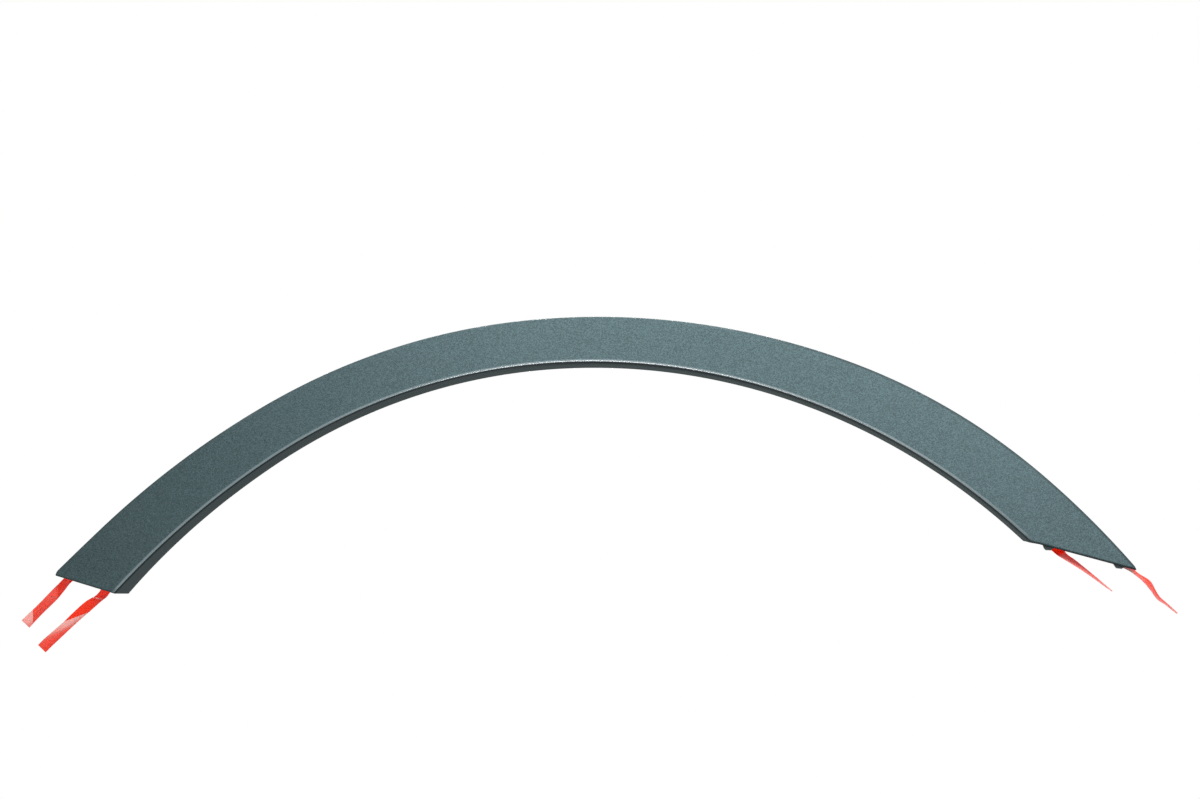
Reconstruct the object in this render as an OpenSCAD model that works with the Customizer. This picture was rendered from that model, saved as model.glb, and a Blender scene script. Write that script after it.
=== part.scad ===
// Wheel arch trim: a moulded arch band with an inner return lip, stuck on with two foam tapes.
// Frame: X along the car, Y into the car, Z up. The origin is on the rear face of the inner
// release film, on its centreline at the crown of the arch.

/* [Arch crease] */
// Radius of the crease over the crown
crown_radius = 378; // [340:1:420]
// Radius of the crease on the shoulder towards the long leg
shoulder_radius = 350; // [320:1:400]
// Radius of the crease down the long leg
leg_radius = 490; // [400:5:600]
// Angle from the crown at which the shoulder begins
shoulder_angle = 20; // [10:1:30]
// Angle from the crown at which the long leg begins
leg_angle = 50; // [40:1:56]
// Height of the long leg's cut below the crease's crown
long_leg_drop = 237; // [200:1:260]
// Height of the short leg's cut below the crease's crown
short_leg_drop = 51.5; // [40:0.5:80]

/* [Outer edge] */
// Width of the band over the crown
crown_width = 31.6; // [28:0.2:40]
// Distance of the outer edge's highest point from the crease's crown
outer_crown_offset = 11; // [0:1:20]
// Radius by which the outer edge is flatter over the crown than one parallel to the crease
outer_crown_flattening = 34.9; // [20:0.1:50]
// Radius of the outer edge down the short leg
outer_front_radius = 364.5; // [350:0.5:400]
// Radius of the outer edge by the short leg's tip
outer_tip_radius = 490; // [400:5:560]
// Radius of the outer edge on the shoulder
outer_shoulder_radius = 393.5; // [380:0.5:410]
// Radius of the outer edge down the long leg
outer_leg_radius = 512; // [480:1:540]
// Radius of the outer edge by the long leg's end
outer_end_radius = 2000; // [1000:100:4000]
// Angle at which the outer edge's short leg begins
outer_front_angle = 6; // [0:1:10]
// Angle at which the outer edge straightens towards the tip
outer_tip_angle = 28; // [24:1:32]
// Angle at which the outer edge's shoulder begins
outer_shoulder_angle = 22; // [18:1:28]
// Angle at which the outer edge's long leg begins
outer_leg_angle = 46; // [42:1:50]
// Angle at which the outer edge straightens towards the long leg's end
outer_end_angle = 61; // [58:0.5:63]

/* [Moulding] */
// Thickness of the face panel
panel_thickness = 2.5; // [2:0.1:3]
// Rounding of the crease
crease_rounding = 1.4; // [0.8:0.1:1.8]
// Rounding of the outer edge
edge_rounding = 1.8; // [0.8:0.1:2.2]
// Width of the rim that turns in along the outer edge
rim_width = 1.5; // [1.2:0.1:1.6]
// Gap that the rim leaves to the car's side
rim_gap = 0.4; // [0.2:0.1:0.8]
// Thickness of the return lip
lip_thickness = 2.4; // [2:0.1:3]
// Depth of the return lip behind the face
lip_depth = 16; // [12:0.5:18]
// Depth that the lip gains down to the long leg's end
lip_flare = 4; // [1:0.5:6]
// Distance above the long leg's cut over which the lip gains it
lip_flare_height = 80; // [40:5:90]
// Rounding of the fillet between panel and lip
fillet_radius = 1; // [0.5:0.1:1.1]
// Height by which the lip's ends rise towards its foot
lip_end_rise = 3; // [1:0.5:5]
// Chamfer along both end cuts
cut_chamfer = 0.6; // [0.3:0.1:1]
// Amount taken off the face's outer corner on the long leg
long_corner_trim = 2.2; // [0.6:0.1:3]
// Amount taken off the face's outer corner on the short leg
short_corner_trim = 1.2; // [0.6:0.1:2]

/* [Tapes] */
// Width of the foam tapes and their films
tape_width = 6.4; // [5:0.2:7]
// Thickness of the foam tapes
tape_thickness = 1.2; // [0.8:0.1:1.6]
// Distance of the inner tape from the crease
inner_tape_inset = 4; // [3.6:0.1:4.5]
// Distance of the outer tape from the outer edge
outer_tape_inset = 1.8; // [1.8:0.1:3]
// Radius of the outer tape down the long leg
outer_tape_leg_radius = 470; // [440:5:500]
// Height above the long leg's cut at which the tapes' centrelines end
tape_stop_long = 3; // [1:0.5:6]
// Height above the short leg's cut at which the tapes' centrelines end
tape_stop_short = 0.4; // [0:0.1:1.5]
// Chamfer of the tapes' corners
tape_chamfer = 1.2; // [0.5:0.1:1.5]
// Length of tape that the films have come off at the short leg's end
film_lift = 4; // [2:0.5:6]
// Thickness of the release films
film_thickness = 0.15; // [0.1:0.05:0.3]
film_width = 7.3; // [6.4:0.1:8]

/* [Hidden] */
$fn = 256;
round_steps = 24;
moulding_colour = [0.36, 0.42, 0.43];
foam_colour = [0.25, 0.29, 0.3];
film_colour = [0.95, 0.2, 0.12];

// widths that lie well inside the band, and reaches that clear the whole part
strip_width = 22;
clear_reach = 600;
leg_reach = 75;
front_reach = 45;
overlap = 1;
block = 20;

// heights and depths
inner_tape_line = inner_tape_inset + tape_width / 2;
outer_tape_line = -(outer_tape_inset + tape_width / 2);
crease_top = -inner_tape_line;
long_cut = crease_top - long_leg_drop;
short_cut = crease_top - short_leg_drop;
foam_front = film_thickness + tape_thickness;
face_height = foam_front + panel_thickness;
lip_foot = lip_depth - face_height;

// neighbouring arcs only join where their numbers fit the six digits of the evaluated tree
function thousandth(value) = round(value * 1000) / 1000;

// centre of the next arc in a run, which shares the tangent at angle a
function next_centre(centre, radius, next_radius, a) =
    centre + (radius - next_radius) * [sin(a), cos(a)];

// a run holds arcs as [centre, radius, first angle, last angle], angles from the top
crease_crown = [0, crease_top - crown_radius];
crease_shoulder = next_centre(crease_crown, crown_radius, shoulder_radius, -shoulder_angle);
crease_leg = next_centre(crease_shoulder, shoulder_radius, leg_radius, -leg_angle);
crease_run = [
    [crease_leg, leg_radius, -leg_reach, -leg_angle],
    [crease_shoulder, shoulder_radius, -leg_angle, -shoulder_angle],
    [crease_crown, crown_radius, -shoulder_angle, front_reach]
];

outer_crown_radius = crown_radius + crown_width + outer_crown_flattening;
outer_crown = [outer_crown_offset, crease_top + crown_width - outer_crown_radius];
outer_front = next_centre(outer_crown, outer_crown_radius, outer_front_radius, outer_front_angle);
outer_tip = next_centre(outer_front, outer_front_radius, outer_tip_radius, outer_tip_angle);
outer_shoulder = next_centre(outer_crown, outer_crown_radius, outer_shoulder_radius,
                             -outer_shoulder_angle);
outer_leg = next_centre(outer_shoulder, outer_shoulder_radius, outer_leg_radius,
                        -outer_leg_angle);
outer_end = next_centre(outer_leg, outer_leg_radius, outer_end_radius, -outer_end_angle);
outer_arcs = [
    [outer_shoulder, outer_shoulder_radius, -outer_leg_angle, -outer_shoulder_angle],
    [outer_crown, outer_crown_radius, -outer_shoulder_angle, outer_front_angle],
    [outer_front, outer_front_radius, outer_front_angle, outer_tip_angle],
    [outer_tip, outer_tip_radius, outer_tip_angle, front_reach]
];
outer_run = concat([
    [outer_end, outer_end_radius, -leg_reach, -outer_end_angle],
    [outer_leg, outer_leg_radius, -outer_end_angle, -outer_leg_angle]
], outer_arcs);

// runs of the tapes' centrelines
function offset_run(run, offset) = [for (arc = run) [arc[0], arc[1] + offset, arc[2], arc[3]]];
inner_tape_run = offset_run(crease_run, inner_tape_line);
outer_tape_leg = next_centre(outer_shoulder, outer_shoulder_radius + outer_tape_line,
                             outer_tape_leg_radius, -outer_leg_angle);
outer_tape_run = concat(
    [[outer_tape_leg, outer_tape_leg_radius, -leg_reach, -outer_leg_angle]],
    offset_run(outer_arcs, outer_tape_line));

function last(run) = run[len(run) - 1];

// angle at which an arc is at a height, and the angle that a length takes on it
function angle_at(arc, height) = acos((height - arc[0].y) / arc[1]);
function arc_angle(arc, length) = thousandth(length / arc[1] * 180 / PI);

// angles at which a tape's centreline ends, on the long leg and on the short one
function long_end(run) = -thousandth(angle_at(run[0], long_cut + tape_stop_long));
function short_end(run) = thousandth(angle_at(last(run), short_cut + tape_stop_short));

// sweeps the section given as child along a run between two angles, x outward and y forward
module sweep(run, from = -leg_reach, to = front_reach) {
    for (arc = run) {
        first = max(arc[2], from);
        end = min(arc[3], to);
        place(arc[0])
            rotate([90, 0, 0])
                rotate_extrude(start = 90 - end, angle = end - first)
                    translate([arc[1], 0])
                        children();
    }
}

// moves by [X, Z] in steps of whole millimetres, thousandths and the rest, which keeps every
// digit of an arc's centre
module place(position) {
    whole = [for (v = position) round(v)];
    thousandths = [for (v = position - whole) thousandth(v)];
    rest = position - whole - thousandths;
    translate([whole.x, 0, whole.y])
        translate([thousandths.x, 0, thousandths.y])
            translate([rest.x, 0, rest.y])
                children();
}

// a quarter of a disc towards +X and +Y, which rounds off an outer corner
module quarter_disc(radius) {
    intersection() {
        circle(radius, $fn = round_steps);
        square(radius);
    }
}

// the inner part of the face with the rounded crease, the lip and the fillet behind them
module crease_section() {
    translate([crease_rounding, foam_front])
        square([strip_width - crease_rounding, panel_thickness]);
    translate([0, -lip_foot - lip_flare])
        square([lip_thickness, face_height - crease_rounding + lip_foot + lip_flare]);
    translate([crease_rounding, face_height - crease_rounding])
        mirror([1, 0])
            quarter_disc(crease_rounding);
    difference() {
        translate([lip_thickness, foam_front - fillet_radius])
            square(fillet_radius);
        translate([lip_thickness + fillet_radius, foam_front - fillet_radius])
            circle(fillet_radius, $fn = round_steps);
    }
}

// the outer part of the face with its rounded edge and the rim behind it
module edge_section() {
    translate([-strip_width, foam_front])
        square([strip_width - edge_rounding, panel_thickness]);
    translate([-edge_rounding, foam_front])
        square([edge_rounding, panel_thickness - edge_rounding]);
    translate([-rim_width, film_thickness + rim_gap])
        square([rim_width, panel_thickness - edge_rounding + tape_thickness - rim_gap]);
    translate([-edge_rounding, face_height - edge_rounding])
        quarter_disc(edge_rounding);
}

// room between the front and a cut, seen along X: chamfered in front, rising towards the foot
module cut_profile(cut) {
    foot = lip_foot + lip_flare;
    polygon([
        [-face_height - overlap, cut + cut_chamfer + overlap],
        [-face_height + cut_chamfer, cut],
        [-foam_front, cut],
        [foot + overlap, cut + lip_end_rise],
        [foot + overlap, clear_reach],
        [-face_height - overlap, clear_reach]
    ]);
}

// what lies behind the lip's foot, seen along X: a straight line that flares on the long leg
module foot_profile() {
    flare_top = long_cut + lip_flare_height;
    flare_radius = (pow(lip_flare_height, 2) + pow(lip_flare, 2)) / (2 * lip_flare);
    translate([lip_foot, flare_top])
        square([clear_reach, clear_reach]);
    translate([lip_foot + flare_radius, flare_top])
        circle(flare_radius);
}

// extrudes a profile of Y and Z along X
module along_x(from, to) {
    translate([from, 0, 0])
        rotate([90, 0, 90])
            linear_extrude(to - from)
                children();
}

// moves and turns to a place on an arc: x along the run, y into the car, z outward
module on_arc(arc, angle) {
    translate([arc[0].x + arc[1] * sin(angle), 0, arc[0].y + arc[1] * cos(angle)])
        rotate([0, angle, 0])
            children();
}

// takes the point off the acute corner between the outer edge and a cut, which lies on side
// -1 or 1; the block stands across the corner's bisector
module corner_cutter(arc, cut, side, trim) {
    angle = side * angle_at(arc, cut);
    on_arc(arc, angle)
        rotate([0, side * (90 - (180 - abs(angle)) / 2), 0])
            translate([0, 0, block / 2 - trim])
                cube(block, center = true);
}

module arch_moulding() {
    color(moulding_colour)
        difference() {
            intersection() {
                union() {
                    sweep(crease_run) crease_section();
                    sweep(outer_run) edge_section();
                }
                union() {
                    along_x(-clear_reach, 0) cut_profile(long_cut);
                    along_x(0, clear_reach) cut_profile(short_cut);
                }
            }
            along_x(-clear_reach, clear_reach) foot_profile();
            corner_cutter(outer_run[0], long_cut, -1, long_corner_trim);
            corner_cutter(last(outer_run), short_cut, 1, short_corner_trim);
        }
}

// a foam tape between the panel's back and the film, with chamfered corners
module foam_tape(run) {
    color(foam_colour)
        difference() {
            sweep(run, long_end(run), short_end(run))
                translate([-tape_width / 2, film_thickness])
                    square([tape_width, tape_thickness]);
            on_arc(run[0], long_end(run)) tape_corners();
            on_arc(last(run), short_end(run)) tape_corners();
        }
}

// what the chamfers take off a tape's two corners at its end
module tape_corners() {
    for (side = [-1, 1])
        translate([0, -foam_front / 2, side * tape_width / 2])
            rotate([0, 45, 0])
                cube([tape_chamfer * sqrt(2), 2 * foam_front, tape_chamfer * sqrt(2)],
                     center = true);
}

// the film's tails: rows of [distance past the tape's end, shift outward, shift inward to
// the car, twist], which a smooth curve passes through
inner_long_tail = [
    [0.4, 0, 0, 0], [5, -0.8, 0.6, 13], [10, -0.3, 0.9, 22], [17, 1.3, 1, 2],
    [28, 2.4, 1, -1], [40, 3.2, 1, 4], [56, 5, 1, -3]
];
outer_long_tail = [
    [0.4, 0, 0, 0], [4, 0.4, 1.2, 20], [10, 0.4, 1.5, 14], [20, 0.4, 1.6, 7],
    [30, 1, 1.6, 8], [42.5, 2.1, 1.6, -6]
];
inner_short_tail = [
    [0.4, 0, 0, 0], [3.5, 0.8, 2, 30], [6.5, 1.2, 2.5, 37], [11.5, 1.6, 2.5, 47],
    [20, 3.6, 2.2, 54], [32, 5.3, 1.8, 64], [45, 6.6, 1.5, 73]
];
outer_short_tail = [
    [0.4, 0, 0, 0], [4, 1.6, 2.6, 42], [8, 3.1, 2.8, 53], [12.5, 3.8, 2.6, 60],
    [20, 5, 2.4, 48], [30, 3.9, 2.2, 58], [36, 5, 2.1, 66], [44, 6, 2, 70]
];
tail_steps = 8;
tail_margin = 0.01;

// the smooth curve's row at station s, where whole stations are the rows themselves
function row_at(rows, i) = rows[max(0, min(len(rows) - 1, i))];
function tail_row(rows, s) =
    let (i = floor(s), u = s - i, a = row_at(rows, i - 1), b = row_at(rows, i),
         c = row_at(rows, i + 1), d = row_at(rows, i + 2))
    (2 * b + (c - a) * u + (2 * a - 5 * b + 4 * c - d) * pow(u, 2)
        + (3 * b - a - 3 * c + d) * pow(u, 3)) / 2;

// corners of the film's cross-section at a row, as [along, outward, inward to the car]
function film_corners(row, width, thickness) =
    [for (side = [[-1, -1], [1, -1], [1, 1], [-1, 1]])
        let (across = side[0] * width / 2, through = side[1] * thickness / 2)
        [row[0], row[1] + across * cos(row[3]) - through * sin(row[3]),
         row[2] + across * sin(row[3]) + through * cos(row[3])]];

// a tail in its own frame: x along the tape, y into the car, z outward
module film_tail(rows) {
    width = film_width - 10 * tail_margin;
    thickness = film_thickness - 2 * tail_margin;
    stations = concat(
        [[-overlap, 0, 0, 0]],
        [for (k = [0 : (len(rows) - 1) * tail_steps]) tail_row(rows, k / tail_steps)]);
    corners = [for (row = stations) each film_corners(row, width, thickness)];
    sides = [for (k = [0 : len(stations) - 2]) each
        [for (j = [0 : 3])
            let (a = 4 * k + j, b = 4 * k + (j + 1) % 4, c = b + 4, d = a + 4)
            each j < 2 ? [[a, b, c], [a, c, d]] : [[b, c, d], [b, d, a]]]];
    end = 4 * len(stations) - 4;
    polyhedron(
        points = [for (p = corners) [p[0], p[2] - film_thickness / 2, p[1]]],
        faces = concat([[3, 2, 1, 0]], sides, [[end, end + 1, end + 2, end + 3]]),
        convexity = 4);
}

// a film along its tape, with a tail past either end
module release_film(run, long_tail, short_tail) {
    from = long_end(run);
    to = short_end(run) - arc_angle(last(run), film_lift);
    color(film_colour) {
        sweep(run, from, to)
            translate([-film_width / 2, 0])
                square([film_width, film_thickness]);
        on_arc(run[0], from) mirror([1, 0, 0]) film_tail(long_tail);
        on_arc(last(run), to) film_tail(short_tail);
    }
}

module inner_foam_tape() foam_tape(inner_tape_run);
module outer_foam_tape() foam_tape(outer_tape_run);
module inner_release_film() release_film(inner_tape_run, inner_long_tail, inner_short_tail);
module outer_release_film() release_film(outer_tape_run, outer_long_tail, outer_short_tail);

arch_moulding();
inner_foam_tape();
outer_foam_tape();
inner_release_film();
outer_release_film();
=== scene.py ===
"""Looks of the wheel arch trim: a grained plastic moulding, its foam tapes and their red films."""

import math

import bpy
from mathutils import Matrix, Vector


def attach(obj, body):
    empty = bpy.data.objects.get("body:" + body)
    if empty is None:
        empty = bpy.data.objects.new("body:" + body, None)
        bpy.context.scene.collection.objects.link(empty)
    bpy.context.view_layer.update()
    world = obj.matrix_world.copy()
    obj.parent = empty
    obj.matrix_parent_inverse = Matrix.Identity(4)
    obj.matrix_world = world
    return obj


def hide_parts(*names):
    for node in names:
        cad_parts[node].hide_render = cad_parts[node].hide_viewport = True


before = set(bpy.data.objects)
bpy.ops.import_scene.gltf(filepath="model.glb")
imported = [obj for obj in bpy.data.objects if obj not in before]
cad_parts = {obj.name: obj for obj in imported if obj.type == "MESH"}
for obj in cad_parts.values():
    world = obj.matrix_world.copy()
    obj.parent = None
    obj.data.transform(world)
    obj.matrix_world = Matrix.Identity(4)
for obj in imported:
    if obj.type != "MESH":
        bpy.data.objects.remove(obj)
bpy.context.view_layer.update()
bpy.ops.object.select_all(action="DESELECT")


# --- Camera ---------------------------------------------------------------------------------
# The trim is seen from the front and slightly from below, as under the arch of a car, and a
# little from the long leg's side. The camera is rolled, so the crown leans to the left.

CAMERA_PLACE = Vector((0.1012, -0.9691, -0.2531))
CAMERA_FORWARD = Vector((-0.1848, 0.9602, 0.2096)).normalized()
CAMERA_UP = Vector((-0.2514, -0.2523, 0.9344)).normalized()
CAMERA_LENS, CAMERA_SENSOR = 48, 36

bpy.ops.object.camera_add(location=CAMERA_PLACE)
camera = bpy.context.object
camera.name = "camera"
camera.data.lens = CAMERA_LENS
camera.data.sensor_width = CAMERA_SENSOR
camera_right = CAMERA_FORWARD.cross(CAMERA_UP)
camera.matrix_world = Matrix.Translation(CAMERA_PLACE) @ Matrix(
    (camera_right, CAMERA_UP, -CAMERA_FORWARD)).transposed().to_4x4()
camera.data.clip_start = 0.01
camera.data.clip_end = 50
bpy.context.scene.camera = camera


# --- Floor, background and lamps ------------------------------------------------------------
# A pale floor lies well below the trim, which is held up as on a car. It fades to white away
# from the trim's shadow. Soft lamps stand in front at the right, at the left and below, and a
# large one behind shines through the films.

FLOOR_HEIGHT = -1.0
FLOOR_SIZE = 12
FLOOR_COLOUR = (0.9, 0.9, 0.89)
FADE_START, FADE_END = 0.3, 0.9
AMBIENT = 0.07


def new_material(name):
    """A material with an empty node tree, and that tree."""
    material = bpy.data.materials.new(name)
    material.use_nodes = True
    material.node_tree.nodes.clear()
    return material, material.node_tree


def add(tree, kind, settings=None, **inputs):
    """A node of that kind with its settings, and its inputs joined to sockets or set to values.
    An input is named with _ for its spaces, or as _0, _1 by its place."""
    node = tree.nodes.new(kind)
    for name, value in (settings or {}).items():
        setattr(node, name, value)
    for name, value in inputs.items():
        socket = node.inputs[int(name[1:]) if name[0] == "_" else name.replace("_", " ")]
        if isinstance(value, bpy.types.NodeSocket):
            tree.links.new(value, socket)
        else:
            socket.default_value = value
    return node


def math_node(tree, operation, a, b=0.0, c=0.0, clamp=False):
    """The result of one sum on sockets or numbers, held to 0 to 1 if clamp is set."""
    return add(tree, "ShaderNodeMath", {"operation": operation, "use_clamp": clamp},
               _0=a, _1=b, _2=c).outputs[0]


def ramp(tree, value, low, high, to_low=0.0, to_high=1.0):
    """A smooth step from one value to another as the input goes from low to high."""
    return add(tree, "ShaderNodeMapRange", {"interpolation_type": "SMOOTHSTEP"}, Value=value,
               From_Min=low, From_Max=high, To_Min=to_low, To_Max=to_high).outputs[0]


def background_rays(tree):
    """1 for the rays that see the plain background: from the camera, off gloss, through glass."""
    rays = add(tree, "ShaderNodeLightPath")
    seen = math_node(tree, "MAXIMUM", rays.outputs["Is Camera Ray"], rays.outputs["Is Glossy Ray"])
    return math_node(tree, "MAXIMUM", seen, rays.outputs["Is Transmission Ray"])


world = bpy.data.worlds.new("plain light")
bpy.context.scene.world = world
world.use_nodes = True
tree = world.node_tree
tree.nodes.clear()
strength = add(tree, "ShaderNodeMapRange", Value=background_rays(tree), To_Min=AMBIENT, To_Max=1.0)
background = add(tree, "ShaderNodeBackground", Color=(1, 1, 1, 1), Strength=strength.outputs[0])
add(tree, "ShaderNodeOutputWorld", Surface=background.outputs[0])

bpy.ops.mesh.primitive_plane_add(size=FLOOR_SIZE, location=(0, 0, FLOOR_HEIGHT))
floor = bpy.context.object
floor.name = "floor"
material, tree = new_material("pale floor")
place = add(tree, "ShaderNodeTexCoord").outputs["Object"]
distance = add(tree, "ShaderNodeVectorMath", {"operation": "LENGTH"}, _0=place).outputs["Value"]
away = ramp(tree, distance, FADE_START, FADE_END)
matte = add(tree, "ShaderNodeBsdfDiffuse", Color=(*FLOOR_COLOUR, 1))
white = add(tree, "ShaderNodeEmission", Color=(1, 1, 1, 1), Strength=1.0)
share = math_node(tree, "MULTIPLY", background_rays(tree), away)
mixed = add(tree, "ShaderNodeMixShader", _0=share, _1=matte.outputs[0], _2=white.outputs[0])
add(tree, "ShaderNodeOutputMaterial", Surface=mixed.outputs[0])
floor.data.materials.append(material)


def lamp(name, place, aim, size, power):
    """A soft square or oblong lamp that points at a place and isn't seen itself."""
    bpy.ops.object.light_add(type="AREA", location=place)
    light = bpy.context.object
    light.name = name
    light.data.shape = "RECTANGLE"
    light.data.size, light.data.size_y = size
    light.data.energy = power
    light.rotation_euler = (Vector(aim) - Vector(place)).to_track_quat("-Z", "Y").to_euler()
    light.visible_camera = False


lamp("key lamp", place=(0.2, -0.4, 0.36), aim=(0.08, 0, 0), size=(0.25, 0.2), power=3.6)
lamp("side lamp", place=(-0.2, -0.25, 0.1), aim=(-0.2, 0, 0), size=(0.15, 0.15), power=0.43)
lamp("low lamp", place=(0, -0.3, -0.75), aim=(0, 0, 0), size=(0.15, 0.1), power=1.2)
lamp("back lamp", place=(-0.4, 1.3, 0.5), aim=(-0.05, 0, -0.1), size=(0.8, 0.8), power=36)


# --- Arch moulding --------------------------------------------------------------------------
# One injection-moulded band of dark teal-grey plastic, its inner edge turned back as a lip and
# its outer edge as a low rim. It is drawn along two runs of arcs and cut off level at both legs.
# Sizes are in millimetres.

MM = 0.001
ARCH_STEPS = 520
ARCH_ENDS = (-70.5, 44.5)
CREASE_TOP, CREASE_RADIUS = -7.2, 378
CROWN_WIDTH, OUTER_RADIUS, OUTER_SHIFT = 31.6, 444.5, 11
LONG_CUT, SHORT_CUT = -244.2, -58.7
FACE, PANEL_BACK = -3.85, -1.35
CREASE_ROUND, EDGE_ROUND = 1.4, 1.8
LIP_THICK, LIP_FOOT = 2.4, 12.15
LIP_FLARE, FLARE_TOP, FLARE_REACH = 4.0, -164.2, 88
FILLET = 1.0
RIM_WIDTH, RIM_BACK, RIM_ROUND, FOOT_ROUND = 1.5, -0.55, 0.3, 0.5
CUT_CHAMFER, LIP_RISE = 0.6, 3.0
LONG_TRIM, SHORT_TRIM = 2.2, 1.2
CUTTER_REACH, CUTTER_FLOOR, CUTTER_CUBE = 600, -700, 20


def heading(angle):
    """The direction outward at an angle in degrees from the top, as X and Z."""
    return Vector((math.sin(math.radians(angle)), math.cos(math.radians(angle))))


def tangent_run(centre, radius, first, last, *more):
    """Arcs as [centre, radius, first angle, last angle] in millimetres and degrees from the top.
    Each of more is the radius and the far angle of an arc that goes on from the last one."""
    run = [[Vector(centre), radius, first, last]]
    for next_radius, far in more:
        beyond = run[-1] if far > first else run[0]
        joint = beyond[3] if far > first else beyond[2]
        centre = beyond[0] + (beyond[1] - next_radius) * heading(joint)
        arc = [centre, next_radius, min(joint, far), max(joint, far)]
        run = run + [arc] if far > first else [arc] + run
    return run


def on_run(run, angle):
    """The point of a run at an angle, and the direction outward there."""
    for centre, radius, first, last in run:
        if angle <= last or last == run[-1][3]:
            return centre + radius * heading(angle), heading(angle)


def reach_to(run, point, direction):
    """How far a run lies from a point inside it in that direction."""
    for centre, radius, first, last in run:
        across = direction.dot(point - centre)
        length = -across + math.sqrt(across ** 2 - (point - centre).length_squared + radius ** 2)
        hit = point + length * direction - centre
        if math.degrees(math.atan2(hit.x, hit.y)) <= last or last == run[-1][3]:
            return length


crease_run = tangent_run((0, CREASE_TOP - CREASE_RADIUS), CREASE_RADIUS, -20, 45,
                         (350, -50), (490, -75))
OUTER_CENTRE = (OUTER_SHIFT, CREASE_TOP + CROWN_WIDTH - OUTER_RADIUS)
OUTER_ARCS = ((364.5, 28), (490, 50), (393.5, -46))
outer_run = tangent_run(OUTER_CENTRE, OUTER_RADIUS, -22, 6, *OUTER_ARCS, (512, -61), (2000, -75))


def arc_rows(outward, depth, radius, first, last, steps, far=0, foot=0):
    """Rows of a section round a corner. far and foot are 1 where a row is measured from the
    outer edge or the lip's foot."""
    turns = [math.radians(first + (last - first) * k / steps) for k in range(steps + 1)]
    return [(outward + radius * math.cos(t), far, depth + radius * math.sin(t), foot)
            for t in turns]


def between(start, end, steps):
    """Rows between two others, without them."""
    return [tuple(a + (b - a) * k / steps for a, b in zip(start, end)) for k in range(1, steps)]


corners = [
    arc_rows(FOOT_ROUND, -FOOT_ROUND, FOOT_ROUND, 90, 180, 3, foot=1),
    arc_rows(CREASE_ROUND, FACE + CREASE_ROUND, CREASE_ROUND, 180, 270, 12),
    arc_rows(-EDGE_ROUND, FACE + EDGE_ROUND, EDGE_ROUND, 270, 360, 10, far=1),
    arc_rows(-RIM_ROUND, RIM_BACK - RIM_ROUND, RIM_ROUND, 0, 90, 3, far=1),
    arc_rows(RIM_ROUND - RIM_WIDTH, RIM_BACK - RIM_ROUND, RIM_ROUND, 90, 180, 3, far=1),
    [(-RIM_WIDTH, 1, PANEL_BACK, 0)],
    arc_rows(LIP_THICK + FILLET, PANEL_BACK + FILLET, FILLET, 270, 180, 6),
    arc_rows(LIP_THICK - FOOT_ROUND, -FOOT_ROUND, FOOT_ROUND, 0, 90, 3, foot=1),
]
section = []
for corner, following in zip(corners, corners[1:] + corners[:1]):
    section += corner + between(corner[-1], following[0], 6)
section.append(section[0])


def foot_depth(z):
    """Depth of the lip's foot, which flares towards the long leg's end."""
    radius = ((FLARE_TOP - LONG_CUT) ** 2 + LIP_FLARE ** 2) / (2 * LIP_FLARE)
    below = min(max(FLARE_TOP - z, 0), FLARE_REACH)
    return LIP_FOOT + radius - math.sqrt(radius ** 2 - below ** 2)


def mapped_grid(name, columns, rows, place):
    """A grid of that many steps, each point of which moves to the place given for its column
    and row."""
    bpy.ops.mesh.primitive_grid_add(x_subdivisions=columns, y_subdivisions=rows, size=1)
    piece = bpy.context.object
    piece.name = piece.data.name = name
    for vertex in piece.data.vertices:
        vertex.co = place(round((vertex.co.x + 0.5) * columns), round((vertex.co.y + 0.5) * rows))
    return piece


def section_place(column, row):
    """Where a section's row lies at one station of the arch, in metres."""
    angle = ARCH_ENDS[0] + (ARCH_ENDS[1] - ARCH_ENDS[0]) * column / ARCH_STEPS
    point, outward = on_run(crease_run, angle)
    near, far, depth, foot = section[row]
    at = point + outward * (near + far * reach_to(outer_run, point, outward))
    return Vector((at.x, depth + foot * foot_depth(at.y), at.y)) * MM


def close_up():
    """Joins the seam of the newest piece, closes both its ends and turns its faces outwards."""
    bpy.ops.object.mode_set(mode="EDIT")
    bpy.ops.mesh.select_all(action="SELECT")
    bpy.ops.mesh.remove_doubles(threshold=1e-6)
    bpy.ops.mesh.fill_holes(sides=0)
    bpy.ops.mesh.normals_make_consistent(inside=False)
    bpy.ops.object.mode_set(mode="OBJECT")


moulding = mapped_grid("moulding", ARCH_STEPS, len(section) - 1, section_place)
close_up()


def cut_away(piece, cutter):
    """Takes a cutter's volume off a piece and deletes the cutter."""
    bpy.ops.object.select_all(action="DESELECT")
    bpy.context.view_layer.objects.active = piece
    piece.select_set(True)
    bpy.ops.object.modifier_add(type="BOOLEAN")
    modifier = piece.modifiers[-1]
    modifier.operation, modifier.solver, modifier.object = "DIFFERENCE", "EXACT", cutter
    bpy.ops.object.modifier_apply(modifier=modifier.name)
    bpy.data.objects.remove(cutter)


# each leg is cut off level, with a chamfer in front and a slope across the lip behind
for cut, left, right in ((LONG_CUT, -CUTTER_REACH, 0), (SHORT_CUT, 0, CUTTER_REACH)):
    profile = [(FACE - 1, cut + CUT_CHAMFER + 1), (FACE + CUT_CHAMFER, cut), (PANEL_BACK, cut),
               (LIP_FOOT + LIP_FLARE + 1, cut + LIP_RISE),
               (LIP_FOOT + LIP_FLARE + 1, CUTTER_FLOOR), (FACE - 1, CUTTER_FLOOR)]
    mesh = bpy.data.meshes.new("cutter")
    mesh.from_pydata([(x * MM, y * MM, z * MM) for x in (left, right) for y, z in profile], [],
                     [range(6), range(11, 5, -1)]
                     + [(6 + k, 6 + (k + 1) % 6, (k + 1) % 6, k) for k in range(6)])
    cutter = bpy.data.objects.new("cutter", mesh)
    bpy.context.scene.collection.objects.link(cutter)
    cut_away(moulding, cutter)

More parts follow.
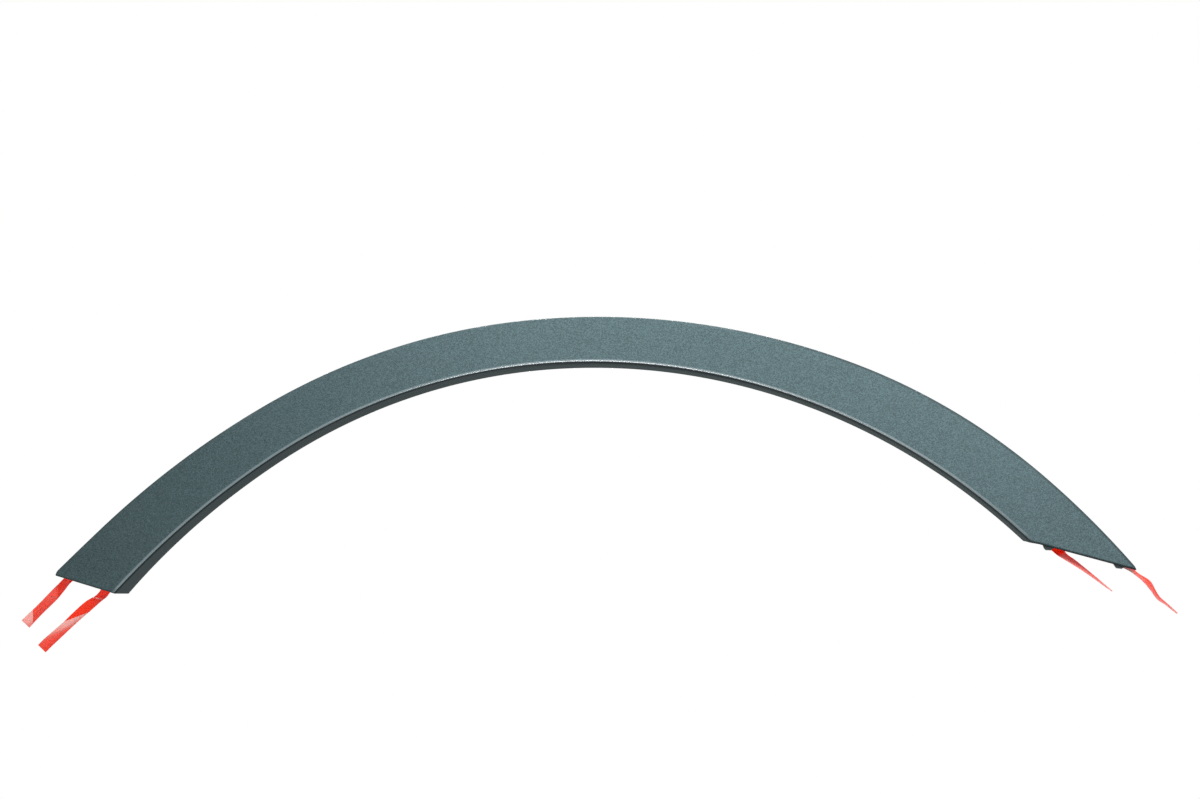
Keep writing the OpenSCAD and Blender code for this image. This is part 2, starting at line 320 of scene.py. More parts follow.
# the sharp outer corner of each leg is trimmed
for arc, cut, side, trim in ((outer_run[0], LONG_CUT, -1, LONG_TRIM),
                             (outer_run[-1], SHORT_CUT, 1, SHORT_TRIM)):
    angle = side * math.degrees(math.acos((cut - arc[0].y) / arc[1]))
    corner = arc[0] + arc[1] * heading(angle)
    turn = angle + side * (90 - (180 - abs(angle)) / 2)
    centre = corner + heading(turn) * (CUTTER_CUBE / 2 - trim)
    bpy.ops.mesh.primitive_cube_add(size=CUTTER_CUBE * MM, rotation=(0, math.radians(turn), 0),
                                    location=(centre.x * MM, 0, centre.y * MM))
    cut_away(moulding, bpy.context.object)

bpy.ops.object.shade_smooth_by_angle(angle=math.radians(32))

PEBBLE = 0.46
CREASE_BAND, EDGE_BAND = (1.6 * MM, 1.0 * MM), (-2.4 * MM, -0.8 * MM)
LIP_FRONT = -2.4 * MM
PLASTIC_COLOUR = (0.106, 0.164, 0.176)
# the lip's colour is set darker than the face's, partly for its smoother finish and partly as
# painted shade
PLAIN_AND_SHADED_COLOUR = (0.072, 0.091, 0.094)
# DEEP_COLOUR is the near-black of one dark scuff and of the painted shade at the outer edge, the
# cuts and the lip
DEEP_COLOUR = (0.008, 0.014, 0.016)
PALE_COLOUR = (0.24, 0.31, 0.33)
# scuffs and marks, two of them painted glints, as [x, z, half length, half width, turn, strength,
# colour]
SCUFFS_AND_GLINTS = [
    (-376.6, -241.8, 2.1, 0.4, 87, 0.5, PALE_COLOUR),
    (-365.6, -242, 1.8, 0.4, 80, 0.45, PALE_COLOUR),
    (-224.5, -46, 6, 0.45, -34, 0.4, PALE_COLOUR),
    (-43, 18.8, 6, 0.4, 2, 0.4, PALE_COLOUR),
    # the next two pale spots are painted glints, not scuffs
    (102.8, 13.4, 1.3, 0.6, 10, 0.9, PALE_COLOUR),
    (107, 12.6, 1.3, 0.6, 10, 0.9, PALE_COLOUR),
    (-340, -189, 1.0, 0.6, 45, 0.7, PALE_COLOUR),
    (-285.2, -124.9, 2.4, 0.5, -30, 0.6, DEEP_COLOUR),
]


def node_group(name, inputs, outputs):
    """An empty shader group with named sockets: its tree, and its input and output nodes."""
    tree = bpy.data.node_groups.new(name, "ShaderNodeTree")
    for socket, kind, default in inputs:
        item = tree.interface.new_socket(socket, in_out="INPUT", socket_type="NodeSocket" + kind)
        if default is not None:
            item.default_value = default
    for socket, kind in outputs:
        tree.interface.new_socket(socket, in_out="OUTPUT", socket_type="NodeSocket" + kind)
    return tree, tree.nodes.new("NodeGroupInput"), tree.nodes.new("NodeGroupOutput")


def place_group(tree, group, **inputs):
    """A group placed in a material with its own values."""
    return add(tree, "ShaderNodeGroup", {"node_tree": group}, **inputs)


def run_group(name, run):
    """A group that says how far outside a run of arcs a point lies, in metres."""
    tree, given, result = node_group(name, [("Point", "Vector", None)], [("Outside", "Float")])
    split = add(tree, "ShaderNodeSeparateXYZ", _0=given.outputs["Point"])
    outside = None
    for centre, radius, first, last in reversed(run):
        across = math_node(tree, "SUBTRACT", split.outputs["X"], centre.x * MM)
        up = math_node(tree, "SUBTRACT", split.outputs["Z"], centre.y * MM)
        reach = add(tree, "ShaderNodeVectorMath", {"operation": "LENGTH"},
                    _0=add(tree, "ShaderNodeCombineXYZ", X=across, Z=up).outputs[0])
        distance = math_node(tree, "SUBTRACT", reach.outputs["Value"], radius * MM)
        angle = math_node(tree, "ARCTAN2", across, up)
        if outside is None:
            outside = distance
        else:
            here = math_node(tree, "LESS_THAN", angle, math.radians(last))
            outside = add(tree, "ShaderNodeMix", Factor=here, A=outside, B=distance).outputs[0]
    tree.links.new(outside, result.inputs["Outside"])
    return tree


crease_place = run_group("place from the crease", crease_run)
edge_place = run_group("place from the outer edge", outer_run)

# how high a point lies above its leg's cut, in metres
cut_place, given, result = node_group("height above the cuts", [("Point", "Vector", None)],
                                      [("Above", "Float")])
split = add(cut_place, "ShaderNodeSeparateXYZ", _0=given.outputs["Point"])
on_short = math_node(cut_place, "GREATER_THAN", split.outputs["X"], 0.0)
cut = math_node(cut_place, "MULTIPLY_ADD", on_short, (SHORT_CUT - LONG_CUT) * MM, LONG_CUT * MM)
cut_place.links.new(math_node(cut_place, "SUBTRACT", split.outputs["Z"], cut),
                    result.inputs["Above"])

# a short scratch or scuff, or a painted glint, at a place on the face, broken up by noise: [0 to 1]
scuff_or_glint, given, result = node_group(
    "scuff_or_glint", [("Point", "Vector", None), ("At", "Vector", None), ("Turn", "Float", 0.0),
              ("Reach", "Float", 0.002), ("Width", "Float", 0.0004)], [("Mask", "Float")])
beside = add(scuff_or_glint, "ShaderNodeVectorMath", {"operation": "SUBTRACT"}, _0=given.outputs["Point"],
             _1=given.outputs["At"])
turned = add(scuff_or_glint, "ShaderNodeVectorRotate", {"rotation_type": "Y_AXIS"}, Vector=beside.outputs[0],
             Angle=given.outputs["Turn"])
split = add(scuff_or_glint, "ShaderNodeSeparateXYZ", _0=turned.outputs[0])
far_along = math_node(scuff_or_glint, "DIVIDE", math_node(scuff_or_glint, "ABSOLUTE", split.outputs["X"]),
                      given.outputs["Reach"])
far_across = math_node(scuff_or_glint, "DIVIDE", math_node(scuff_or_glint, "ABSOLUTE", split.outputs["Z"]),
                       given.outputs["Width"])
broken = add(scuff_or_glint, "ShaderNodeTexNoise", Vector=given.outputs["Point"], Scale=1400.0, Detail=2.0)
mask = math_node(scuff_or_glint, "MULTIPLY", ramp(scuff_or_glint, far_along, 1.0, 0.5),
                 ramp(scuff_or_glint, far_across, 1.0, 0.3))
scuff_or_glint.links.new(math_node(scuff_or_glint, "MULTIPLY", mask, ramp(scuff_or_glint, broken.outputs[0], 0.35, 0.6)),
                result.inputs["Mask"])

# the pebble grain of moulded plastic: its height, and a fine speckle from 0 to 1
grain, given, result = node_group(
    "pebble grain", [("Point", "Vector", None), ("Pebble Size", "Float", 0.0009)],
    [("Height", "Float"), ("Speckle", "Float")])
scaled = add(grain, "ShaderNodeVectorMath", {"operation": "SCALE"}, _0=given.outputs["Point"],
             Scale=math_node(grain, "DIVIDE", 1.0, given.outputs["Pebble Size"])).outputs[0]
pebbles = add(grain, "ShaderNodeTexVoronoi", {"feature": "SMOOTH_F1"}, Vector=scaled, Scale=1.0,
              Smoothness=0.5, Randomness=1.0)
fine = add(grain, "ShaderNodeTexNoise", Vector=scaled, Scale=2.2, Detail=2.0, Roughness=0.6)
height = math_node(grain, "MULTIPLY_ADD", pebbles.outputs["Distance"], -1.0, 1.0)
height = math_node(grain, "MULTIPLY_ADD", fine.outputs[0], 0.35, height)
tone = add(grain, "ShaderNodeSeparateColor", _0=pebbles.outputs["Color"]).outputs[0]
speckle = math_node(grain, "ADD", math_node(grain, "MULTIPLY", tone, 0.6),
                    math_node(grain, "MULTIPLY", fine.outputs[0], 0.4))
grain.links.new(height, result.inputs["Height"])
grain.links.new(ramp(grain, speckle, 0.25, 0.75), result.inputs["Speckle"])


def two_tone(tree, factor, low, high):
    """A colour between two others."""
    colours = [value if isinstance(value, bpy.types.NodeSocket) else (*value, 1)
               for value in (low, high)]
    return add(tree, "ShaderNodeMix", {"data_type": "RGBA"}, _0=factor, _6=colours[0],
               _7=colours[1]).outputs[2]


def shade_of(colour, factor):
    """A colour made lighter or darker."""
    return tuple(min(1.0, c * factor) for c in colour)


grained, tree = new_material("grained plastic")
point = add(tree, "ShaderNodeTexCoord").outputs["Object"]
inside = place_group(tree, crease_place, Point=point).outputs["Outside"]
outside = place_group(tree, edge_place, Point=point).outputs["Outside"]
texture = place_group(tree, grain, Point=point, Pebble_Size=PEBBLE * MM)

# the rounded crease is rubbed smooth, and the outer edge paler in places
crease = math_node(tree, "MULTIPLY", ramp(tree, inside, *CREASE_BAND),
                   ramp(tree, inside, 0.0, 0.0002))
patches = add(tree, "ShaderNodeTexNoise", Vector=point, Scale=55.0, Detail=3.0, Roughness=0.6)
edge_wear = math_node(tree, "MULTIPLY", ramp(tree, outside, *EDGE_BAND),
                      ramp(tree, patches.outputs[0], 0.50, 0.66))
cloud = add(tree, "ShaderNodeTexNoise", Vector=point, Scale=9.0, Detail=2.0, Roughness=0.5)
speckle = texture.outputs["Speckle"]
base = two_tone(tree, speckle, shade_of(PLASTIC_COLOUR, 0.70), shade_of(PLASTIC_COLOUR, 1.30))
base = two_tone(tree, ramp(tree, cloud.outputs[0], 0.3, 0.7, 0.0, 0.12), base,
                shade_of(PLASTIC_COLOUR, 1.25))
split = add(tree, "ShaderNodeSeparateXYZ", _0=point)
along = math_node(tree, "ABSOLUTE", split.outputs["X"])
above = place_group(tree, cut_place, Point=point).outputs["Above"]
# the crease shines most over the crown, less down the legs, and not at their cuts
shine = math_node(tree, "MULTIPLY", crease, ramp(tree, along, 0.09, 0.28, 1.0, 0.5))
shine = math_node(tree, "MULTIPLY", shine, ramp(tree, split.outputs["X"], 0.10, 0.22, 1.0, 0.6))
shine = math_node(tree, "MULTIPLY", shine, ramp(tree, above, 0.0015, 0.0042))
# the face colour gathers wear, painted shade, painted shadow and painted glints
wear_and_painted_light_colour = two_tone(tree, math_node(tree, "MULTIPLY", crease, 0.4), base, PALE_COLOUR)
wear_and_painted_light_colour = two_tone(tree, math_node(tree, "MULTIPLY", edge_wear, 0.3), wear_and_painted_light_colour, PALE_COLOUR)
# painted shade darkens the outer edge on the short leg, and painted shadow darkens the face along
# both cuts
painted_edge_shade = math_node(tree, "MULTIPLY", ramp(tree, outside, *EDGE_BAND, 0.0, 0.55),
                       ramp(tree, split.outputs["X"], -0.05, 0.08))
wear_and_painted_light_colour = two_tone(tree, painted_edge_shade, wear_and_painted_light_colour, DEEP_COLOUR)
# painted shadow along both cuts
wear_and_painted_light_colour = two_tone(tree, ramp(tree, above, 0.0012, 0.0004, 0.0, 0.6), wear_and_painted_light_colour, DEEP_COLOUR)
# scuffs, marks and the painted glints, laid over the face colour
for x, z, reach, width, turn, amount, colour in SCUFFS_AND_GLINTS:
    mark_or_glint_mask = place_group(tree, scuff_or_glint, Point=point, At=(x * MM, FACE * MM, z * MM),
                       Turn=math.radians(turn), Reach=reach * MM, Width=width * MM).outputs["Mask"]
    wear_and_painted_light_colour = two_tone(tree, math_node(tree, "MULTIPLY", mark_or_glint_mask, amount), wear_and_painted_light_colour, colour)
rough = math_node(tree, "MULTIPLY_ADD", speckle, 0.12, 0.5)
height = math_node(tree, "MULTIPLY", texture.outputs["Height"],
                   ramp(tree, inside, 0.0002, 0.0020, 0.2, 1.0))
bump = add(tree, "ShaderNodeBump", Strength=0.5, Distance=0.0003, Height=height)
shader = add(tree, "ShaderNodeBsdfPrincipled", Base_Color=wear_and_painted_light_colour, Roughness=rough,
             Normal=bump.outputs[0], Specular_IOR_Level=0.12, Coat_Weight=shine,
             Coat_Roughness=0.22, Coat_IOR=2.6, Coat_Tint=(0.8, 0.94, 1.0, 1))
add(tree, "ShaderNodeOutputMaterial", Surface=shader.outputs[0])

# the lip, rim and back have no grain, only the tool's dull finish, and their colour is darker than
# the face's, partly for that finish and partly as painted shade
plain, tree = new_material("plain plastic")
point = add(tree, "ShaderNodeTexCoord").outputs["Object"]
dull = add(tree, "ShaderNodeTexNoise", Vector=point, Scale=900.0, Detail=3.0, Roughness=0.6)
flow = add(tree, "ShaderNodeTexNoise", Vector=point, Scale=25.0, Detail=3.0, Roughness=0.5)
split = add(tree, "ShaderNodeSeparateXYZ", _0=point)
depth = split.outputs["Y"]
base = two_tone(tree, dull.outputs[0], shade_of(PLAIN_AND_SHADED_COLOUR, 0.8), shade_of(PLAIN_AND_SHADED_COLOUR, 1.2))
base = two_tone(tree, ramp(tree, flow.outputs[0], 0.35, 0.7, 0.0, 0.3), base,
                shade_of(PLAIN_AND_SHADED_COLOUR, 1.3))
# painted shade: the lip is darkest just behind the crease, in a wider band from the crown to the
# short leg
band = math_node(tree, "MULTIPLY", ramp(tree, depth, LIP_FRONT, 0.0055, 0.95, 0.0),
                 ramp(tree, split.outputs["X"], -0.2, -0.08))
band = math_node(tree, "MAXIMUM", band, ramp(tree, depth, LIP_FRONT, 0.001, 0.95, 0.0))
base = two_tone(tree, band, base, DEEP_COLOUR)
above = place_group(tree, cut_place, Point=point).outputs["Above"]
# painted shadow along both cuts, as on the face
base = two_tone(tree, ramp(tree, above, 0.0008, 0.0002, 0.0, 0.7), base, DEEP_COLOUR)
rough = ramp(tree, flow.outputs[0], 0.3, 0.7, 0.5, 0.62)
bump = add(tree, "ShaderNodeBump", Strength=0.15, Distance=0.0002, Height=dull.outputs[0])
shader = add(tree, "ShaderNodeBsdfPrincipled", Base_Color=base, Roughness=rough,
             Normal=bump.outputs[0], Specular_IOR_Level=0.03, IOR=1.3)
add(tree, "ShaderNodeOutputMaterial", Surface=shader.outputs[0])

# the face, the crease and the outer edge are grained, and all behind them is plain
moulding.data.materials.append(grained)
moulding.data.materials.append(plain)
for face in moulding.data.polygons:
    outward = Vector((face.center.x, 0, face.center.z - (CREASE_TOP - CREASE_RADIUS) * MM))
    front = face.normal.y < -0.3 and face.center.y < PANEL_BACK * MM
    outer_side = face.normal.dot(outward.normalized()) > 0.5
    face.material_index = 0 if front or outer_side else 1

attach(moulding, "root")
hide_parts("arch_moulding")


# --- Foam tapes -----------------------------------------------------------------------------
# Two strips of dark closed-cell foam with adhesive on both sides, pressed to the panel's back.
# They run beside the crease and the outer edge. At the short leg's end each is squeezed out
# towards the lip and shows below the cut as a small dark bump with a flattened corner.

TAPE_WIDTH, TAPE_FRONT, TAPE_REAR, TAPE_ROUND = 6.3, -1.33, -0.16, 0.25
TAPE_SHIFT = {"inner": 7.2, "outer": -5.0}
STOP_LONG, STOP_SHORT = 3.0, 0.4
END_ROUND, END_THIN, SQUEEZE_CORNER = 0.9, 0.2, 2.2
SQUEEZE_NEAR, SQUEEZE_FAR = 3, 7
SQUEEZE_BULGE = {"inner": 1.3, "outer": 0.6}
SQUEEZE_OUT = {"inner": 0.2, "outer": 0.8}
TAPE_STEPS, END_STEPS, END_LENGTH = 200, 20, 6.5


def angle_at(arc, height):
    """Angle from the top at which an arc is at a height, in degrees."""
    return math.degrees(math.acos((height - arc[0].y) / arc[1]))


tape_runs = {
    "inner": [[centre, radius + TAPE_SHIFT["inner"], first, last]
              for centre, radius, first, last in crease_run],
    "outer": tangent_run(OUTER_CENTRE, OUTER_RADIUS + TAPE_SHIFT["outer"], -22, 6,
                         *((radius + TAPE_SHIFT["outer"], far) for radius, far in OUTER_ARCS),
                         (470, -75)),
}


def near_end(past):
    """From 1 close to the short leg's end down to 0, where past is the distance from it."""
    return max(0.0, min(1.0, (SQUEEZE_FAR - past) / (SQUEEZE_FAR - SQUEEZE_NEAR)))


def foam_tape(name):
    """A strip of foam along its run, with rounded edges, and squeezed at the short leg's end."""
    run = tape_runs[name]
    first = -angle_at(run[0], LONG_CUT + STOP_LONG)
    last = angle_at(run[-1], SHORT_CUT + STOP_SHORT) + math.degrees(SQUEEZE_OUT[name] / run[-1][1])
    near = [math.degrees(END_LENGTH * (k / END_STEPS) ** 2 / run[-1][1]) for k in range(END_STEPS)]
    angles = [first + step for step in near]
    angles += [first + 1 + (last - first - 2) * k / TAPE_STEPS for k in range(TAPE_STEPS + 1)]
    angles += [last - step for step in reversed(near)]
    ring = []
    for side, face, start in ((1, 1, 0), (-1, 1, 90), (-1, -1, 180), (1, -1, 270)):
        ring += [(side, face, math.radians(start + 22.5 * k)) for k in range(5)]
    ring.append(ring[0])

    def place(column, row):
        """Where a row of the ring lies at one station of the tape, in metres."""
        angle = angles[column]
        point, outward = on_run(run, angle)
        past = math.radians(min(angle - first, last - angle)) * run[-1][1]
        side, face, turn = ring[row]
        squeezed = side < 0 and last - angle < angle - first
        tuck = END_ROUND - math.sqrt(END_ROUND ** 2 - max(0.0, END_ROUND - past) ** 2)
        if squeezed:
            tuck = max(0.0, SQUEEZE_CORNER - past)
        spread = near_end(past) if squeezed else 0.0
        bulge = SQUEEZE_BULGE[name] * spread ** 2 * (3 - 2 * spread)
        half = TAPE_WIDTH / 2 - tuck + bulge
        deep = (TAPE_REAR - TAPE_FRONT) / 2 - min(tuck / 4, END_THIN)
        across = side * (half - TAPE_ROUND) + TAPE_ROUND * math.cos(turn)
        depth = ((TAPE_REAR + TAPE_FRONT) / 2 + face * (deep - TAPE_ROUND)
                 + TAPE_ROUND * math.sin(turn))
        at = point + outward * across
        return Vector((at.x, depth, at.y)) * MM

    tape = mapped_grid(name + "_tape", len(angles) - 1, len(ring) - 1, place)
    close_up()
    bpy.ops.object.shade_smooth_by_angle(angle=math.radians(50))
    return tape


FOAM_COLOUR = (0.15, 0.185, 0.185)
foam, tree = new_material("foam tape")
point = add(tree, "ShaderNodeTexCoord").outputs["Object"]
cells = add(tree, "ShaderNodeTexVoronoi", Vector=point, Scale=2600.0)
patchy = add(tree, "ShaderNodeTexNoise", Vector=point, Scale=120.0, Detail=3.0, Roughness=0.6)
base = two_tone(tree, cells.outputs["Distance"], shade_of(FOAM_COLOUR, 0.7),
                shade_of(FOAM_COLOUR, 1.3))
base = two_tone(tree, ramp(tree, patchy.outputs[0], 0.4, 0.7, 0.0, 0.35), base,
                shade_of(FOAM_COLOUR, 0.75))
bump = add(tree, "ShaderNodeBump", Strength=0.5, Distance=0.0002, Height=cells.outputs["Distance"])
shader = add(tree, "ShaderNodeBsdfPrincipled", Base_Color=base,
             Roughness=ramp(tree, patchy.outputs[0], 0.3, 0.7, 0.72, 0.85), Normal=bump.outputs[0])
add(tree, "ShaderNodeOutputMaterial", Surface=shader.outputs[0])
for name in ("inner", "outer"):
    tape = foam_tape(name)
    tape.data.materials.append(foam)
    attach(tape, "root")
    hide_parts(name + "_foam_tape")


# --- Release films --------------------------------------------------------------------------
# A thin glossy red film covers each tape's glue until the trim is fitted. Its loose tails hang
# out past both cuts, twisted and folded by handling, and clouded where they were bent.
# The pale clouds are partly whitening of the film and partly painted glare.

FILM_WIDTH, FILM_THICK = 7.1, 0.13
FILM_MIDDLE = -0.075
FILM_LIFT, FILM_CLEAR, FILM_TUCK = 4.0, 8.0, 0.5
STRIP_STEPS, TAIL_STEP, ACROSS_STEPS = 240, 0.75, 8
# rows down a tail: [distance past its root, shift outward, shift in towards the car, twist]
TAILS = {
    ("inner", "long"): [
        (0.4, 0, 0, 0), (5, -0.8, 0.6, 13), (10, -0.3, 0.9, 22), (17, 1.3, 1, 2),
        (28, 2.4, 1, -1), (40, 3.2, 1, 4), (56, 5, 1, -3)],
    ("outer", "long"): [
        (0.4, 0, 0, 0), (4, 0.4, 1.2, 20), (10, 0.4, 1.5, 14), (20, 0.4, 1.6, 7),
        (30, 1, 1.6, 8), (41.7, 2.1, 1.6, -6)],
    ("inner", "short"): [
        (0.4, 0, 0, 0), (3.5, 1.1, 1.5, 14), (7, 2, 2, 14), (11.5, 1.7, 2.5, 45),
        (20, 3.6, 2.2, 54), (32, 5.3, 1.8, 64), (45, 6.6, 1.5, 73)],
    ("outer", "short"): [
        (0.4, 0, 0, 0), (4, 1.6, 2.6, 42), (8, 3.1, 2.8, 53), (12.5, 3.8, 2.6, 60),
        (20, 5, 2.4, 48), (30, 3.9, 2.2, 58), (36, 5, 2.1, 66), (44, 6, 2, 70)],
}
# folds across a tail: [where, slant across the width, slope past the fold, length it fades in]
FOLDS = {
    ("inner", "long"): [(9, 2.15, -0.10, 1.5), (27.2, 7.5, -0.22, 14)],
    ("outer", "long"): [(13.3, -3.3, -0.16, 12)],
    ("inner", "short"): [(14, 2, 0.10, 6)],
    ("outer", "short"): [(15, 2, -0.14, 5), (24, -2, 0.16, 5)],
}
FOLD_REACH = 25
BOW, BOW_LENGTH = 0.35, 8
TIP_LENGTH, TIP_LEAST = 6, 0.15


def smooth_row(rows, station):
    """The row of a smooth curve through the given rows, at a station between them."""
    first = min(int(station), len(rows) - 2)
    u = station - first
    a, b, c, d = (rows[max(0, min(len(rows) - 1, first + k))] for k in (-1, 0, 1, 2))
    return [(2 * q + (r - p) * u + (2 * p - 5 * q + 4 * r - t) * u ** 2
             + (3 * q - p - 3 * r + t) * u ** 3) / 2 for p, q, r, t in zip(a, b, c, d)]


# places across a film's width, from -1 at the side towards the lip to 1
sides = [2 * k / ACROSS_STEPS - 1 for k in range(ACROSS_STEPS + 1)]
film_ends = {}
for name, run in tape_runs.items():
    long_end = -angle_at(run[0], LONG_CUT + STOP_LONG)
    lift = math.degrees(FILM_LIFT / run[-1][1])
    film_ends[name] = (long_end, angle_at(run[-1], SHORT_CUT + STOP_SHORT) - lift)


def tail_stations(name, end):
    """Stations down one tail: [past its root, centre, width direction, normal], in millimetres."""
    rows, run = TAILS[name, end], tape_runs[name]
    arc, angle, side = (run[0], film_ends[name][0], -1) if end == "long" else (
        run[-1], film_ends[name][1], 1)
    start, outward = arc[0] + arc[1] * heading(angle), heading(angle)
    along = Vector((outward.y, -outward.x)) * side
    stations = []
    steps = round(rows[-1][0] / TAIL_STEP)
    for k in range(steps + 1):
        past, shift, inward, twist = smooth_row(rows, (len(rows) - 1) * k / steps)
        flat = start + along * past + outward * shift
        turn = math.radians(twist)
        width = Vector((outward.x * math.cos(turn), math.sin(turn), outward.y * math.cos(turn)))
        normal = Vector((-outward.x * math.sin(turn), math.cos(turn),
                         -outward.y * math.sin(turn)))
        stations.append((past, Vector((flat.x, inward + FILM_MIDDLE, flat.y)), width, normal))
    return stations


def half_width(across, past):
    """Distance from a film's centreline. The side towards the lip tucks in by the foam's end."""
    tuck = near_end(past) * FILM_TUCK if across < 0 else 0.0
    return across * (FILM_WIDTH / 2 - tuck)


def fold_height(name, end, past, across):
    """How far a tail's folds and bow lift it off its smooth curve there, less at the tip."""
    total = 0.0
    length = TAILS[name, end][-1][0]
    for where, slant, slope, fade in FOLDS[name, end]:
        beyond = past - where - slant * across
        if beyond > 0:
            total += slope * fade * (1 - math.exp(-beyond / fade)) * math.exp(-beyond / FOLD_REACH)
    bow = BOW * (1 - across ** 2) * min(1.0, past / BOW_LENGTH)
    return (total + bow) * min(1.0, (length - past) / TIP_LENGTH + TIP_LEAST)


def release_film(name):
    """A film along its tape with both its tails, as a thin closed sheet."""
    first, last = film_ends[name]
    long_tail, short_tail = tail_stations(name, "long"), tail_stations(name, "short")
    places, attributes = [], []
    for past, centre, width, normal in reversed(long_tail):
        places.append([centre + width * FILM_WIDTH / 2 * v
                       + normal * fold_height(name, "long", past, v) for v in sides])
        attributes.append((past, 0.0))
    for k in range(1, STRIP_STEPS):
        angle = first + (last - first) * k / STRIP_STEPS
        point, outward = on_run(tape_runs[name], angle)
        near = max(0.0, math.radians(last - angle) * tape_runs[name][-1][1] - FILM_CLEAR)
        places.append([Vector((point.x + outward.x * half_width(v, near), FILM_MIDDLE,
                               point.y + outward.y * half_width(v, near))) for v in sides])
        attributes.append((0.0, 0.0))
    for past, centre, width, normal in short_tail:
        places.append([centre + width * half_width(v, past)
                       + normal * fold_height(name, "short", past, v) for v in sides])
        attributes.append((0.0, past))
    film = mapped_grid(name + "_film", len(places) - 1, ACROSS_STEPS,
                       lambda column, row: places[column][row] * MM)
    layers = [film.data.attributes.new(layer, "FLOAT", "POINT")
              for layer in ("past_long", "past_short", "across")]
    for index in range(len(film.data.vertices)):
        column, row = index % len(places), index // len(places)
        for layer, value in zip(layers, (*attributes[column], sides[row])):
            layer.data[index].value = value
    bpy.ops.object.modifier_add(type="SOLIDIFY")
    film.modifiers[-1].thickness = FILM_THICK * MM
    film.modifiers[-1].offset = 0
    bpy.ops.object.modifier_apply(modifier=film.modifiers[-1].name)
    bpy.ops.object.mode_set(mode="EDIT")
    bpy.ops.mesh.select_all(action="SELECT")
    bpy.ops.mesh.normals_make_consistent(inside=False)
    bpy.ops.object.mode_set(mode="OBJECT")
    bpy.ops.object.shade_smooth_by_angle(angle=math.radians(50))
    return film


FILM_COLOUR = (0.95, 0.045, 0.010)
DEEP_RED = (0.62, 0.018, 0.008)
# the colour of the painted shadow at the outer film's short root
ROOT_SHADOW_RED = (0.18, 0.01, 0.012)
CLOUD_AND_GLARE_COLOUR = (0.97, 0.50, 0.48)

# a cloudy, pale patch on a tail, sharp at a fold and fading away from it, partly whitening of the
# film and partly painted glare: [0 to 1]
clouding_and_glare, given, result = node_group(
    "film clouding", [("Past", "Float", 0.0), ("Across", "Float", 0.0), ("Start", "Float", 0.0),
                      ("Slant", "Float", 0.0), ("Fade", "Float", 10.0), ("Lean", "Float", 0.0)],
    [("Cloud", "Float")])
edge = math_node(clouding_and_glare, "MULTIPLY_ADD", given.outputs["Slant"], given.outputs["Across"],
                 given.outputs["Start"])
beyond = math_node(clouding_and_glare, "SUBTRACT", given.outputs["Past"], edge)
faded = math_node(clouding_and_glare, "SUBTRACT", 1.0,
                  math_node(clouding_and_glare, "DIVIDE", beyond, given.outputs["Fade"]), clamp=True)
lean = math_node(clouding_and_glare, "MULTIPLY_ADD", given.outputs["Lean"], given.outputs["Across"], 1.0,
                 clamp=True)
cloud = math_node(clouding_and_glare, "MULTIPLY", ramp(clouding_and_glare, beyond, -0.2, 0.4), faded)
clouding_and_glare.links.new(math_node(clouding_and_glare, "MULTIPLY", cloud, lean), result.inputs["Cloud"])

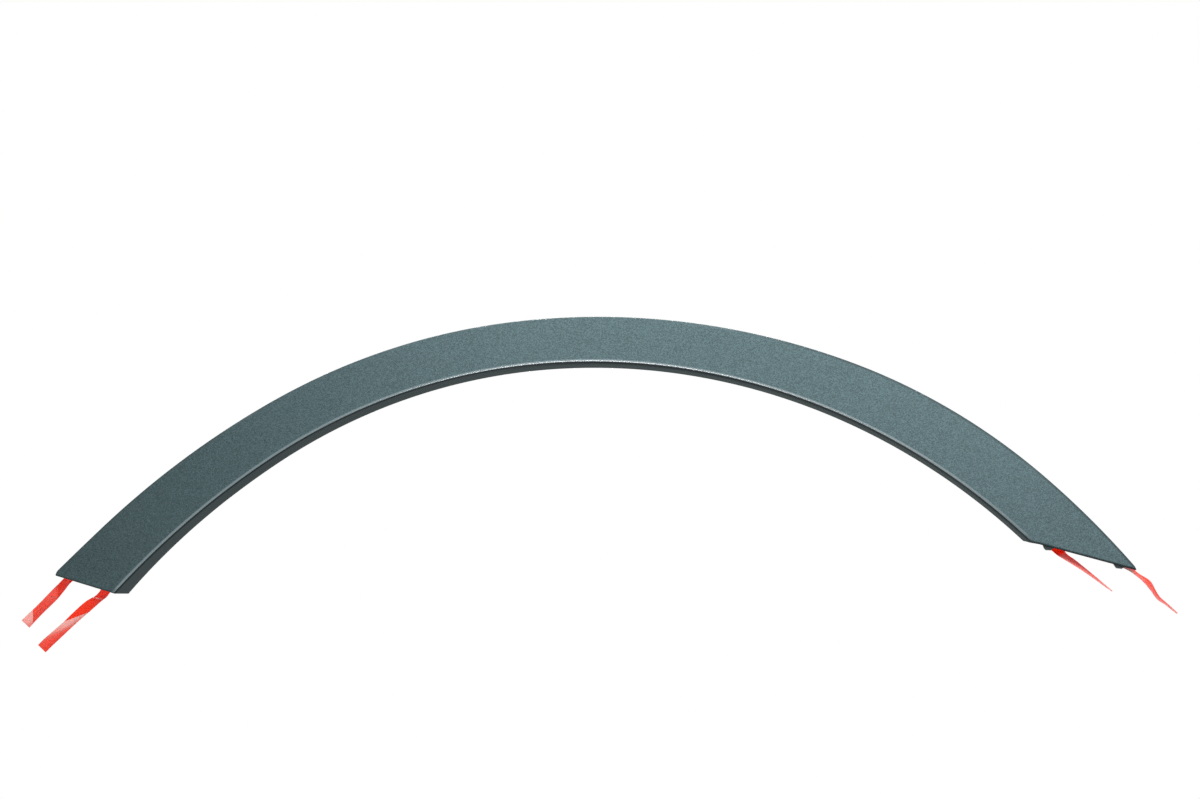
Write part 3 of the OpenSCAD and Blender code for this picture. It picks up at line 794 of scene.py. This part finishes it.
# clouds on each film, partly whitening and partly painted glare: [layer, strength, start, slant,
# fade, lean], in millimetres down a tail
CLOUDS_AND_GLARE = {
    "inner": [("past_long", 0.8, 9, 2.15, 1.3, 0.0), ("past_long", 1.0, 27.2, 7.5, 19, 0.45),
              ("past_long", 0.32, 27.2, 7.5, 58, 0.3), ("past_short", 0.06, 12, 2, 30, 0.0)],
    "outer": [("past_long", 0.22, 13.3, -3.3, 80, 0.2), ("past_long", 0.8, 35, -3, 40, 0.5),
              ("past_short", 0.12, 13, 2, 25, 0.2)],
}
for name in ("inner", "outer"):
    film = release_film(name)
    material, tree = new_material(name + " release film")
    point = add(tree, "ShaderNodeTexCoord").outputs["Object"]
    layers = {layer: add(tree, "ShaderNodeAttribute", {"attribute_name": layer}).outputs["Fac"]
              for layer in ("past_long", "past_short", "across")}
    haze = add(tree, "ShaderNodeTexNoise", Vector=point, Scale=160.0, Detail=3.0, Roughness=0.6)
    ripple = add(tree, "ShaderNodeTexNoise", Vector=point, Scale=70.0, Detail=1.0, Roughness=0.5)
    colour = two_tone(tree, haze.outputs[0], shade_of(FILM_COLOUR, 0.9), FILM_COLOUR)
    # its cut edges are a deeper red
    rim = ramp(tree, math_node(tree, "ABSOLUTE", layers["across"]), 0.90, 0.99, 0.0, 0.45)
    colour = two_tone(tree, rim, colour, DEEP_RED)
    rough = ramp(tree, haze.outputs[0], 0.3, 0.7, 0.20, 0.30)
    if name == "outer":
        # the root of its short tail is darker, a painted shadow of the panel over it
        root = math_node(tree, "MULTIPLY", ramp(tree, layers["past_short"], 9.0, 11.5, 0.85, 0.0),
                         ramp(tree, layers["past_short"], 0.0, 1.0))
        colour = two_tone(tree, root, colour, ROOT_SHADOW_RED)
    glare = 0.0
    for layer, amount, start, slant, fade, lean in CLOUDS_AND_GLARE[name]:
        cloud = place_group(tree, clouding_and_glare, Past=layers[layer], Across=layers["across"],
                            Start=start, Slant=slant, Fade=fade, Lean=lean).outputs["Cloud"]
        cloud_and_painted_glare = math_node(tree, "MULTIPLY", cloud,
                            ramp(tree, haze.outputs[0], 0.25, 0.75, 0.75 * amount, amount))
        # the pale clouds paint part of the film's glare into its colour
        colour = two_tone(tree, cloud_and_painted_glare, colour, CLOUD_AND_GLARE_COLOUR)
        rough = math_node(tree, "MULTIPLY_ADD", cloud_and_painted_glare, 0.15, rough)
        glare = math_node(tree, "MAXIMUM", glare, cloud_and_painted_glare)
    bump = add(tree, "ShaderNodeBump", Strength=0.25, Distance=0.0005, Height=ripple.outputs[0])
    # light comes through the thin film, and its cloudy patches glare
    shader = add(tree, "ShaderNodeBsdfPrincipled", Base_Color=colour, Roughness=rough,
                 Normal=bump.outputs[0], Specular_IOR_Level=0.3, Subsurface_Weight=0.7,
                 Subsurface_Radius=(1.0, 0.35, 0.25), Subsurface_Scale=MM,
                 Coat_Weight=ramp(tree, glare, 0.1, 0.6), Coat_Roughness=0.2, Coat_IOR=2.7)
    add(tree, "ShaderNodeOutputMaterial", Surface=shader.outputs[0])
    film.data.materials.append(material)
    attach(film, "root")
    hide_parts(name + "_release_film")


bpy.context.scene.view_settings.view_transform = "Standard"
